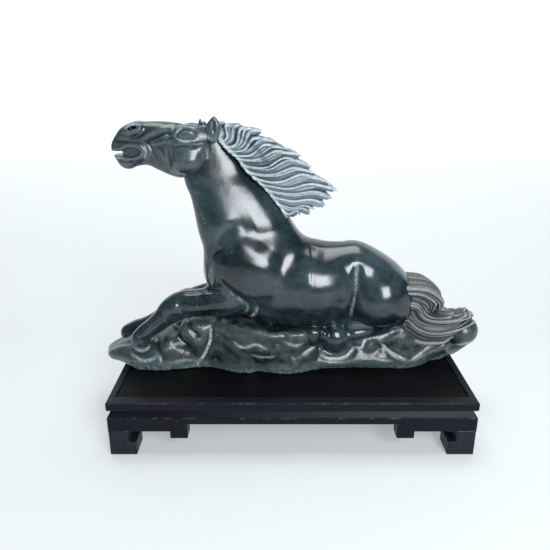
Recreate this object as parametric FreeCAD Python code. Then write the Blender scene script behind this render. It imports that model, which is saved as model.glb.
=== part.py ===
"""A dark jade carving of a reclining horse, resting on a stained wooden stand.

Millimetres. The origin is the centre of the stand at floor level: +Z is up, +X runs along the
stand from the horse's head to its tail, and -Y is the side that the carving is shown from.
"""
import FreeCAD, Part
import math
import os

from FreeCAD import Vector

# ---- stand: driving dimensions ----
STAND_W = 200.0
STAND_D = 104.0
STAND_H = 32.6
RAIL_T = 5.0            # height of the top frame
RAIL_FRONT_W = 6.5      # plan width of the long rails
RAIL_SIDE_W = 4.0       # plan width of the short rails
PANEL_DROP = 0.8        # panel surface below the frame
GROOVE_Z = 1.4          # height of the groove that holds the panel's tongue
GROOVE_DEPTH = 2.2
GROOVE_GAP = 0.5        # room left for the panel to swell
WAIST_H = 4.4
WAIST_STEP = 2.7        # how far the waist's top edge is set back
BOARD_T = 9.0           # thickness of waist and apron boards
APRON_MID_Z = 19.3      # lower edge between the drop tabs
TAB_Z = 10.5            # lower edge of a drop tab
LEG_TOP_Z = 15.0        # lower edge from the tab to the corner, and top of the foot
FRONT_TAB = (57.0, 66.5)
SIDE_TAB = (16.0, 24.0)
FOOT_W = 14.7
FOOT_D = 14.5
FOOT_NECK = 10.7        # width of the foot above its hook
FOOT_HOOK_Z = 8.1
TENON = 4.4
TENON_H = 6.0
CORNER_BLOCK = 9.0
BATTEN_X = 42.0
BATTEN_W = 10.0
EDGE_ROUND = 0.5

# ---- carving: driving dimensions ----
CARVING_HALF_L = 114.5
BODY_Y = 6.0            # depth of the horse's middle plane
CARVING_TOP_Z = 180.0
REST_HALF_L = 94.0      # the flat underside ends just inside the frame
ROCK_OVERHANG_Z = 33.2  # underside of the rock where it passes over the frame
ROCK_TOP_Z = 60.0       # top of the rock under the horse's belly
ROCK_Y = 8.0            # depth of the rock's middle
MANE_HALF_T = 8.0       # half thickness of the mane
RING_POINTS = 12

# ---- derived ----
HALF_W = STAND_W / 2
HALF_D = STAND_D / 2
RAIL_Z = STAND_H - RAIL_T
PANEL_TOP_Z = STAND_H - PANEL_DROP
WAIST_Z = RAIL_Z - WAIST_H
GROOVE_BASE_Z = RAIL_Z + (PANEL_TOP_Z - RAIL_Z - GROOVE_Z) / 2


def block(low, high):
    """Box between two corners."""
    size = [b - a for a, b in zip(low, high)]
    return Part.makeBox(size[0], size[1], size[2], Vector(*low))


def prism(points, direction):
    """Polygon through 3-D points, extruded along a direction."""
    return Part.Face(polygon(points)).extrude(Vector(*direction))


def mirror(shape, axis):
    """Mirror image in the plane through the origin across the named axis."""
    normal = Vector(1, 0, 0) if axis == "x" else Vector(0, 1, 0)
    return shape.mirror(Vector(0, 0, 0), normal)


def mitre_wedge(side, front_width, side_width):
    """Plan trapezoid that a board on the front or left side fills, over the stand's height."""
    inner_x = HALF_W - side_width
    inner_y = HALF_D - front_width
    if side == "front":
        plan = [(-HALF_W, -HALF_D), (HALF_W, -HALF_D), (inner_x, -inner_y), (-inner_x, -inner_y)]
    else:
        plan = [(-HALF_W, -HALF_D), (-inner_x, -inner_y), (-inner_x, inner_y), (-HALF_W, HALF_D)]
    return prism([(x, y, 0) for x, y in plan], (0, 0, STAND_H))


def moulding(side, profile, front_width, side_width):
    """Mitred moulding from a profile of (inset from the outer face, z) points."""
    if side == "front":
        points = [(-HALF_W, -HALF_D + inset, z) for inset, z in profile]
        bar = prism(points, (STAND_W, 0, 0))
    else:
        points = [(-HALF_W + inset, -HALF_D, z) for inset, z in profile]
        bar = prism(points, (0, STAND_D, 0))
    return bar.common(mitre_wedge(side, front_width, side_width))


def top_rail(side):
    """Frame rail with eased outer edges and a groove for the panel."""
    width = RAIL_FRONT_W if side == "front" else RAIL_SIDE_W
    groove_top = GROOVE_BASE_Z + GROOVE_Z
    profile = [
        (0.4, RAIL_Z), (0.0, RAIL_Z + 0.9), (0.0, STAND_H - 0.5), (0.5, STAND_H),
        (width - 0.3, STAND_H), (width, STAND_H - 0.3),
        (width, groove_top), (width - GROOVE_DEPTH, groove_top),
        (width - GROOVE_DEPTH, GROOVE_BASE_Z), (width, GROOVE_BASE_Z), (width, RAIL_Z),
    ]
    return moulding(side, profile, RAIL_FRONT_W, RAIL_SIDE_W)


def waist(side):
    """Bevelled strip between the frame and the apron."""
    profile = [(0.0, WAIST_Z), (WAIST_STEP, RAIL_Z), (BOARD_T, RAIL_Z), (BOARD_T, WAIST_Z)]
    return moulding(side, profile, BOARD_T, BOARD_T)


def apron(side):
    """Apron board with a stepped lower edge and two drop tabs."""
    half = HALF_W if side == "front" else HALF_D
    tab_in, tab_out = FRONT_TAB if side == "front" else SIDE_TAB
    right = [
        (tab_in, APRON_MID_Z), (tab_in, TAB_Z), (tab_out, TAB_Z),
        (tab_out, LEG_TOP_Z), (half, LEG_TOP_Z), (half, WAIST_Z),
    ]
    outline = right + [(-along, z) for along, z in reversed(right)]
    if side == "front":
        board = prism([(along, -HALF_D, z) for along, z in outline], (0, BOARD_T, 0))
    else:
        board = prism([(-HALF_W, along, z) for along, z in outline], (BOARD_T, 0, 0))
    board = board.common(mitre_wedge(side, BOARD_T, BOARD_T))
    return board.makeFillet(EDGE_ROUND, lower_outer_edges(board, side, half))


def lower_outer_edges(board, side, half):
    """Edges of the stepped outline that lie on the board's outer face."""
    chosen = []
    for edge in board.Edges:
        box = edge.BoundBox
        face_at = box.YMax + HALF_D if side == "front" else box.XMax + HALF_W
        ends = (box.XMin, box.XMax) if side == "front" else (box.YMin, box.YMax)
        reach = max(abs(end) for end in ends)
        if abs(face_at) < 0.01 and reach < half - 0.1:
            chosen.append(edge)
    return chosen


def foot():
    """Front-left hook foot with the square tenon that locks the apron mitre."""
    neck = block((-HALF_W, -HALF_D, 0), (-HALF_W + FOOT_NECK, -HALF_D + FOOT_NECK, LEG_TOP_Z))
    hook = block((-HALF_W, -HALF_D, 0), (-HALF_W + FOOT_W, -HALF_D + FOOT_D, FOOT_HOOK_Z))
    body = neck.fuse(hook).removeSplitter()
    rounded = [e for e in body.Edges if e.BoundBox.ZMin < LEG_TOP_Z - 0.1]
    body = body.makeFillet(EDGE_ROUND, rounded)
    return body.fuse(tenon()).removeSplitter()


def tenon():
    """Tenon above the front-left foot, also the shape of its mortise."""
    low = (FOOT_NECK - TENON) / 2
    return block(
        (-HALF_W + low, -HALF_D + low, LEG_TOP_Z),
        (-HALF_W + low + TENON, -HALF_D + low + TENON, LEG_TOP_Z + TENON_H),
    )


def corner_block():
    """Glued triangular block inside the front-left corner."""
    x = -HALF_W + BOARD_T
    y = -HALF_D + BOARD_T
    z = LEG_TOP_Z + 2
    plan = [(x, y, z), (x + CORNER_BLOCK, y, z), (x, y + CORNER_BLOCK, z)]
    return prism(plan, (0, 0, RAIL_Z - z))


def top_panel():
    """Panel held by a tongue in the frame's groove."""
    half_x = HALF_W - RAIL_SIDE_W
    half_y = HALF_D - RAIL_FRONT_W
    tongue = GROOVE_DEPTH - GROOVE_GAP
    board = block((-half_x, -half_y, RAIL_Z), (half_x, half_y, PANEL_TOP_Z))
    edge = block(
        (-half_x - tongue, -half_y - tongue, GROOVE_BASE_Z),
        (half_x + tongue, half_y + tongue, GROOVE_BASE_Z + GROOVE_Z),
    )
    return board.fuse(edge).removeSplitter()


def panel_batten(centre_x):
    """Cross batten glued under the panel between the waist strips."""
    reach = HALF_D - BOARD_T
    return block(
        (centre_x - BATTEN_W / 2, -reach, WAIST_Z + 0.4),
        (centre_x + BATTEN_W / 2, reach, RAIL_Z),
    )


# ---------------------------------------------------------------- carving

def ring(centre, across, up, half_across, half_up):
    """Closed smooth oval wire about a centre, spanned by two unit vectors."""
    points = []
    for i in range(RING_POINTS):
        turn = 2 * math.pi * i / RING_POINTS
        points.append(centre + across * (half_across * math.cos(turn)) + up * (half_up * math.sin(turn)))
    curve = Part.BSplineCurve()
    curve.interpolate(points, PeriodicFlag=True)
    return Part.Wire([curve.toShape()])


def blend(before, start, end, after, t):
    """Catmull-Rom value between two stations."""
    return tuple(
        0.5 * (2 * b + (c - a) * t
               + (2 * a - 5 * b + 4 * c - d) * t ** 2
               + (3 * b - a - 3 * c + d) * t ** 3)
        for a, b, c, d in zip(before, start, end, after)
    )


def refined(stations):
    """The stations with one blended station between each pair."""
    last = len(stations) - 1
    dense = []
    for i in range(last):
        before, after = stations[max(i - 1, 0)], stations[min(i + 2, last)]
        dense.append(stations[i])
        dense.append(blend(before, stations[i], stations[i + 1], after, 0.5))
    return dense + [stations[last]]


def limb(stations):
    """Loft through ovals given as (x, z, y offset, half height, half thickness).

    Each oval stands square to the path in the X-Z plane.
    """
    stations = refined(stations)
    centres = [Vector(x, BODY_Y + dy, z) for x, z, dy, half_up, half_y in stations]
    wires = []
    last = len(stations) - 1
    for i, (x, z, dy, half_up, half_y) in enumerate(stations):
        run = centres[min(i + 1, last)] - centres[max(i - 1, 0)]
        up = Vector(-run.z, 0, run.x).normalize()
        wires.append(ring(centres[i], Vector(0, 1, 0), up, half_y, half_up))
    return Part.makeLoft(wires, True, False)


def torso():
    """Barrel, chest and rump."""
    return limb([
        (-50.5, 90, 0, 7, 8), (-46, 89, 0, 14, 15), (-36, 88, 0, 23, 21), (-20, 84, 0, 30, 24),
        (0, 81, 0, 31, 25), (20, 78, 0, 27.5, 24.5), (38, 79, 0, 27, 24), (52, 76, 0, 23.5, 25),
        (62, 73, 0, 19.5, 22), (70, 69, 0, 14, 15), (74, 68, 0, 8, 8),
    ])


def neck():
    """Arched neck, thickest at the shoulder."""
    return limb([
        (-24, 100, 0, 25, 20), (-28, 116, 0, 24.5, 17), (-36, 132, 0, 20.5, 14),
        (-43.5, 146, 0, 16.5, 12), (-50, 158, 0, 12.5, 10),
    ])


def head():
    """Raised head with the mouth cut open."""
    skull = limb([
        (-46, 158, 0, 9, 8), (-52, 158, 0, 12.5, 11), (-60, 158, 0, 14.2, 11.5),
        (-70, 160, 0, 13, 9.5), (-79, 162, 0, 11.8, 8), (-88, 160.7, 0, 12, 7.2),
        (-94.5, 160, 0, 9.8, 6.2), (-99, 159.5, 0, 5, 4.2),
    ])
    gap = [(-82.5, 158), (-91, 160), (-103, 158.4), (-103, 155.6), (-91, 156)]
    mouth = prism([(x, BODY_Y - 14, z) for x, z in gap], (0, 28, 0))
    return skull.cut(mouth)


def ears():
    """Short pricked ears, the near one first."""
    shapes = []
    for tip_x, side in ((-41.5, -1), (-46.5, 1)):
        base = ring(Vector(tip_x - 4, BODY_Y + 6 * side, 167), Vector(1, 0, 0), Vector(0, 1, 0), 4.5, 3)
        tip = ring(Vector(tip_x, BODY_Y + 7 * side, 176), Vector(1, 0, 0), Vector(0, 1, 0), 0.9, 0.8)
        shapes.append(Part.makeLoft([base, tip], True, True))
    return shapes


def mane():
    """Swept-back mane: a slab whose outer edge is a row of pointed locks."""
    root = [(-46, 168), (-34, 152), (-20, 136), (-6, 122), (-2, 119.5)]
    tips = [(1.5, 120.5), (19, 124.5), (27.0, 135), (13.5, 148), (7.0, 155), (-1.0, 158.5), (-7, 162),
            (-15, 168.5), (-26, 172), (-38, 172.5)]
    bays = [(9.0, 121.5), (22.0, 131), (16.0, 141.5), (8.0, 149.5), (1.0, 154), (-5.0, 157.5), (-12, 163),
            (-21, 168.5), (-30, 171)]
    edges = []
    y = BODY_Y - MANE_HALF_T
    for i, bay in enumerate(bays):
        start, end = tips[i], tips[i + 1]
        middle = ((start[0] + bay[0]) / 2 + 0.8, (start[1] + bay[1]) / 2 + 0.8)
        edges.append(Part.Arc(Vector(start[0], y, start[1]), Vector(middle[0], y, middle[1]),
                              Vector(bay[0], y, bay[1])).toShape())
        edges.append(Part.LineSegment(Vector(bay[0], y, bay[1]), Vector(end[0], y, end[1])).toShape())
    corners = [tips[-1]] + root
    for a, b in zip(corners, corners[1:] + [tips[0]]):
        edges.append(Part.LineSegment(Vector(a[0], y, a[1]), Vector(b[0], y, b[1])).toShape())
    face = Part.Face(Part.Wire(edges))
    return face.extrude(Vector(0, 2 * MANE_HALF_T, 0))


def near_foreleg():
    """Upper arm, bent knee, cannon and hoof on the near side."""
    return limb([
        (-24, 75, -11, 9, 8), (-38, 74, -14, 9.5, 8.5), (-52, 73.5, -15, 8, 7.5),
        (-65, 71.5, -15.5, 7.8, 7), (-74, 64, -15.5, 6.2, 6), (-84, 55.5, -15, 5.8, 5.5),
        (-88.5, 49, -14.5, 6.6, 6.2), (-88, 41, -14, 7.5, 6.5),
    ])


def far_foreleg():
    """The same leg on the far side, lower and reaching a little further."""
    return limb([
        (-30, 68, 12, 8.5, 8), (-48, 67, 13, 8, 7.5), (-62, 63, 14, 7, 7), (-76, 55, 15, 6.2, 6),
        (-88, 47, 15, 6, 6), (-96, 42.5, 15, 6, 6), (-102, 39.5, 15, 5.5, 6),
    ])


def hind_leg():
    """Folded hind leg in relief on the rock: hock, cannon, round fetlock and hoof."""
    return limb([
        (63, 62, -14, 5.5, 6), (54, 57, -18, 6, 6.5), (42, 53, -20, 5.8, 6),
        (33, 50.8, -20.5, 7.5, 6.5), (25, 49.8, -20.5, 8.5, 6.5), (17.5, 51, -20.5, 6, 6),
        (11, 52.5, -21, 6, 5.5), (6.5, 52, -21, 5, 4.5),
    ])


def thigh():
    """Swelling of the near thigh."""
    return limb([
        (33, 76, -12, 12, 8), (43, 81, -13.5, 18, 10.5), (53, 81, -13.5, 18.5, 10.5), (62, 77, -11, 14, 9),
        (68, 72, -9, 8, 6),
    ])


def tail():
    """Tail: a bunch curling out of the dock, then two thick locks sweeping back along the rock."""
    bunch = limb([
        (64, 77, -1, 8.5, 12), (75, 77, -2, 8, 12), (84, 75, -2, 7.8, 11), (91, 72, -2, 5, 7),
    ])
    locks = []
    for low, reach, thick in ((0, 0.0, 12.5), (13.0, -1.0, 14.0)):
        locks.append(limb([
            (73 + reach, 73 - low, -3, 8, thick - 3), (81 + reach, 64 - low, -4, 8, thick),
            (93, 60.5 - low, -4, 7.8, thick), (104, 60.5 - low, -4, 6.4, thick - 2),
            (CARVING_HALF_L - 1 + reach / 2, 61 - low, -4, 4.2, thick - 6),
        ]))
    return [bunch] + locks


def rock():
    """Irregular stepped slab with a flat underside and an overhang at each end."""
    underside = [
        (-92, -12.5), (-75, -16), (-57, -11), (-28, -17), (2, -18.5), (16, -13), (52, -12), (69, -12),
        (92, -3), (93, 16), (80, 27), (45, 32), (0, 34), (-50, 32), (-82, 29), (-93, 20),
    ]
    terraces = []
    steps = ((PANEL_TOP_Z, 40.0, 1.0, 1.0), (40.0, 50.0, 0.86, 0.95), (50.0, ROCK_TOP_Z, 0.7, 0.84))
    for low, high, along, across in steps:
        plan = [(x * along, ROCK_Y + (y - ROCK_Y) * across, low) for x, y in underside]
        terraces.append(prism(plan, (0, 0, high - low)))
    left = Part.makeLoft([
        plan_ring(-86, 6, ROCK_OVERHANG_Z, 25, 18),
        plan_ring(-91, 5, 38, 23.5, 18),
        plan_ring(-88, 8, 46, 15, 14),
    ], True, True)
    right = Part.makeLoft([
        plan_ring(84, 5, ROCK_OVERHANG_Z, 22, 14),
        plan_ring(91, 5, 42, 23.5, 16),
        plan_ring(88, 5, 51.5, 22, 13),
    ], True, True)
    return terraces + [left, right]


def polygon(points):
    """Closed polygon wire through 3-D points."""
    corners = [Vector(*p) for p in points]
    return Part.makePolygon(corners + corners[:1])


def plan_ring(x, y, z, half_x, half_y):
    """Level oval wire."""
    return ring(Vector(x, y, z), Vector(1, 0, 0), Vector(0, 1, 0), half_x, half_y)


def carving():
    """The whole horse and its rock, one piece of stone."""
    pieces = rock() + [torso(), neck(), head(), mane(), near_foreleg(), far_foreleg(), hind_leg(), thigh()]
    pieces += ears() + tail()
    stone = pieces[0]
    for piece in pieces[1:]:
        stone = stone.fuse(piece)
    resting = block((-REST_HALF_L, -HALF_D, PANEL_TOP_Z), (REST_HALF_L, HALF_D, CARVING_TOP_Z))
    overhanging = block(
        (-CARVING_HALF_L, -HALF_D, ROCK_OVERHANG_Z), (CARVING_HALF_L, HALF_D, CARVING_TOP_Z))
    return stone.common(resting.fuse(overhanging))


def four_corners(name, shape):
    """The front-left piece and its mirror images."""
    right = mirror(shape, "x")
    return {
        name + "_front_left": shape,
        name + "_front_right": right,
        name + "_back_left": mirror(shape, "y"),
        name + "_back_right": mirror(right, "y"),
    }


def build():
    nodes = {"jade_carving": carving(), "top_panel": top_panel()}
    feet = four_corners("foot", foot())
    mortises = list(four_corners("mortise", tenon()).values())
    for name, make in (("top_rail", top_rail), ("waist", waist), ("apron", apron)):
        front = make("front")
        left = make("left")
        boards = {"front": front, "left": left, "back": mirror(front, "y"), "right": mirror(left, "x")}
        for side, board in boards.items():
            nodes[name + "_" + side] = board.cut(mortises) if name == "apron" else board
    nodes.update(feet)
    nodes.update(four_corners("corner_block", corner_block()))
    nodes["panel_batten_left"] = panel_batten(-BATTEN_X)
    nodes["panel_batten_right"] = panel_batten(BATTEN_X)
    return nodes


os.makedirs("parts", exist_ok=True)
for node, shape in build().items():
    box = shape.BoundBox
    print(node, shape.isValid(), len(shape.Solids), round(shape.Volume), "mm3",
          [round(v, 1) for v in (box.XMin, box.XMax, box.YMin, box.YMax, box.ZMin, box.ZMax)])
    shape.exportStep("parts/" + node + ".step")
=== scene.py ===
"""Looks of the jade horse and its stand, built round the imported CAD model.

The carving is sculpted as distance fields in millimetres, in the CAD frame, and meshed.
A limb station is (x, z, y offset from the horse's middle plane, half height, half thickness).
"""
import math

import bpy
import numpy as np
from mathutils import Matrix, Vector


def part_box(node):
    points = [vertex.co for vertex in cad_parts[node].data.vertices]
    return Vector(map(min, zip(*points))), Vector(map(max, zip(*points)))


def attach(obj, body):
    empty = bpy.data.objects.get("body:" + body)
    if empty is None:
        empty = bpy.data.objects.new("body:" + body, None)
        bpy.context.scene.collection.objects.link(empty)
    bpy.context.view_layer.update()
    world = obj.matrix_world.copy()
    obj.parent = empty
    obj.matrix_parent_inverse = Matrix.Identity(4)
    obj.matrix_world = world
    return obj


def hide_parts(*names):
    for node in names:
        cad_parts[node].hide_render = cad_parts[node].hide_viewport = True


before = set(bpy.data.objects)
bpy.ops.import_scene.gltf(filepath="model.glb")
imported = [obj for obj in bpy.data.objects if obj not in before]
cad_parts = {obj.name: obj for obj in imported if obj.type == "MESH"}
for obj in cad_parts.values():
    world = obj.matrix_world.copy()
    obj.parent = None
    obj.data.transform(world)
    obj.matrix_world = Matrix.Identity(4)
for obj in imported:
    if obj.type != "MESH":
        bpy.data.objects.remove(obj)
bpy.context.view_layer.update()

import openvdb
from mathutils import Vector

MM = 0.001
MIDDLE = 6.0          # depth of the horse's middle plane
BAND = 6.0            # a field is only right this near its surface
PANEL_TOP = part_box("top_panel")[1][2] / MM
CARVING_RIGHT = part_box("jade_carving")[1][0] / MM


# ---------------------------------------------------------------- curves and fields

def smooth_curve(at, stations, values):
    """Cubic through the values, with slopes from the neighbouring stations."""
    stations = np.asarray(stations, float)
    values = np.asarray(values, float)
    slopes = np.gradient(values, stations)
    i = np.clip(np.searchsorted(stations, at) - 1, 0, len(stations) - 2)
    width = stations[i + 1] - stations[i]
    t = np.clip((at - stations[i]) / width, 0.0, 1.0)
    start = values[i] * (1 + 2 * t) * (1 - t) ** 2 + slopes[i] * width * t * (1 - t) ** 2
    end = values[i + 1] * t * t * (3 - 2 * t) + slopes[i + 1] * width * t * t * (t - 1)
    return start + end


def dense_path(points, steps=5):
    """Rows of a smooth path through the points."""
    points = np.asarray(points, float)
    if len(points) < 3:
        steps, at = 1, np.arange(len(points), dtype=float)
    else:
        at = np.linspace(0, len(points) - 1, steps * (len(points) - 1) + 1)
    knots = np.arange(len(points), dtype=float)
    return np.stack([smooth_curve(at, knots, points[:, c]) for c in range(points.shape[1])], axis=1)


def nearest_on_path(x, z, path):
    """Per (x, z): the weighted segment index and position of the nearest point, and its distance."""
    best = None
    for i in range(len(path) - 1):
        ax, az = path[i, 0], path[i, 1]
        run_x, run_z = path[i + 1, 0] - ax, path[i + 1, 1] - az
        t = np.clip(((x - ax) * run_x + (z - az) * run_z) / (run_x ** 2 + run_z ** 2 + 1e-9), 0, 1)
        gap = np.hypot(x - ax - t * run_x, z - az - t * run_z)
        if best is None:
            best, place = gap, i + t
        else:
            nearer = gap < best
            best = np.where(nearer, gap, best)
            place = np.where(nearer, i + t, place)
    return best, place


def polygon_distance(x, z, points):
    """Signed distance to a closed polygon, negative inside."""
    points = np.asarray(points, float)
    best = np.full(np.broadcast(x, z).shape, 1e9)
    inside = np.zeros(best.shape, bool)
    for (ax, az), (bx, bz) in zip(points, np.roll(points, -1, axis=0)):
        t = np.clip(((x - ax) * (bx - ax) + (z - az) * (bz - az)) / ((bx - ax) ** 2 + (bz - az) ** 2), 0, 1)
        best = np.minimum(best, np.hypot(x - ax - t * (bx - ax), z - az - t * (bz - az)))
        crosses = (az > z) != (bz > z)
        inside ^= crosses & (x < ax + (z - az) * (bx - ax) / (bz - az + 1e-12))
    return np.where(inside, -best, best)


def smooth_min(a, b, k):
    if k <= 0:
        return np.minimum(a, b)
    h = np.maximum(k - np.abs(a - b), 0) / k
    return np.minimum(a, b) - h * h * k * 0.25


def smooth_max(a, b, k):
    return -smooth_min(-a, -b, k)


def smooth_step(value, low, high):
    t = np.clip((value - low) / (high - low), 0, 1)
    return t * t * (3 - 2 * t)


def levelled(k, voxel):
    """Distance from a function that is 1 on the surface, by its gradient."""
    steep = np.sqrt(sum(g * g for g in np.gradient(k, voxel)))
    return np.clip((k - 1) / np.maximum(steep, 0.012), -BAND, BAND)


def value_noise(x, z, cell, seed):
    """Smooth random values from -1 to 1 over a plane."""
    table = np.random.default_rng(seed).uniform(-1, 1, (256, 256))
    u, v = x / cell + 100.3, z / cell + 100.7
    i, j = np.floor(u).astype(int), np.floor(v).astype(int)
    s, t = smooth_step(u - i, 0, 1), smooth_step(v - j, 0, 1)
    i, j = i % 255, j % 255
    low = table[i, j] * (1 - s) + table[i + 1, j] * s
    high = table[i, j + 1] * (1 - s) + table[i + 1, j + 1] * s
    return low * (1 - t) + high * t


def facets(x, z, cell, depth, seed, reach):
    """Shallow scallops with sharp ridges between them, like flaked stone."""
    draw = np.random.default_rng(seed)
    (x0, x1), (z0, z1) = reach
    count = int((x1 - x0) * (z1 - z0) / cell ** 2)
    best = np.full(np.broadcast(x, z).shape, 1e9)
    for _ in range(count):
        sx, sz = draw.uniform(x0, x1), draw.uniform(z0, z1)
        lift, tilt_x, tilt_z = draw.uniform(0, 0.7), draw.uniform(-0.5, 0.5), draw.uniform(-0.5, 0.5)
        u, v = (x - sx) / cell, (z - sz) / cell
        best = np.minimum(best, lift + tilt_x * u + tilt_z * v + u * u + v * v)
    return depth * (1 - best)


# ---------------------------------------------------------------- solid forms

def ellipsoid(centre, radii, tilt=0.0):
    """Ellipsoid turned by tilt degrees in the X-Z plane."""
    reach = max(radii)
    turn = math.radians(tilt)

    def distance(x, y, z, voxel):
        dx, dy, dz = x - centre[0], y - centre[1], z - centre[2]
        u = dx * math.cos(turn) + dz * math.sin(turn)
        w = dz * math.cos(turn) - dx * math.sin(turn)
        k0 = np.sqrt((u / radii[0]) ** 2 + (dy / radii[1]) ** 2 + (w / radii[2]) ** 2)
        k1 = np.sqrt(sum((gap / radius ** 2) ** 2 for gap, radius in zip((u, dy, w), radii)))
        return k0 * (k0 - 1) / np.maximum(k1, 1e-4)

    return [c - reach for c in centre], [c + reach for c in centre], distance


def limb(stations, power=2.0, steps=5):
    """Rounded bar along a path in the X-Z plane."""
    path = dense_path(stations, steps)
    radius = path[:, 3].max()
    near, far = (path[:, 2] - path[:, 4]).min(), (path[:, 2] + path[:, 4]).max()
    low = [path[:, 0].min() - radius, MIDDLE + near, path[:, 1].min() - radius]
    high = [path[:, 0].max() + radius, MIDDLE + far, path[:, 1].max() + radius]
    knots = np.arange(len(path), dtype=float)

    def distance(x, y, z, voxel):
        gap, place = nearest_on_path(x, z, path)
        offset, half_up, half_y = [np.interp(place, knots, path[:, c]) for c in (2, 3, 4)]
        k = (gap / half_up) ** power + (np.abs(y - MIDDLE - offset) / half_y) ** power
        return levelled(k ** (1 / power), voxel)

    return low, high, distance


def profile(axis, stations, power=2.0, wedge=0.0):
    """Solid of ovals stacked along X or Z: (position, low edge, high edge, half thickness).

    A wedge thins each oval towards its high edge.
    """
    rows = np.array(sorted(stations), float)
    ends = (rows[0, 0], rows[-1, 0])
    across_ends = (rows[:, 1].min(), rows[:, 2].max())
    thick = rows[:, 3].max()
    x_ends, z_ends = (ends, across_ends) if axis == "x" else (across_ends, ends)

    def distance(x, y, z, voxel):
        along, across = (x, z) if axis == "x" else (z, x)
        low, high, half_y = [smooth_curve(along, rows[:, 0], rows[:, c]) for c in (1, 2, 3)]
        middle, half = (low + high) / 2, np.maximum((high - low) / 2, 0.5)
        half_y = np.maximum(half_y, 0.5) * (1 - wedge * np.clip((across - middle) / half, -1, 1))
        k = (np.abs(across - middle) / half) ** power + (np.abs(y - MIDDLE) / half_y) ** power
        caps = np.maximum(ends[0] - along, along - ends[1]) + np.zeros_like(k)
        return smooth_max(levelled(k ** (1 / power), voxel), caps, 2.0)

    return [x_ends[0], MIDDLE - thick, z_ends[0]], [x_ends[1], MIDDLE + thick, z_ends[1]], distance


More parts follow.
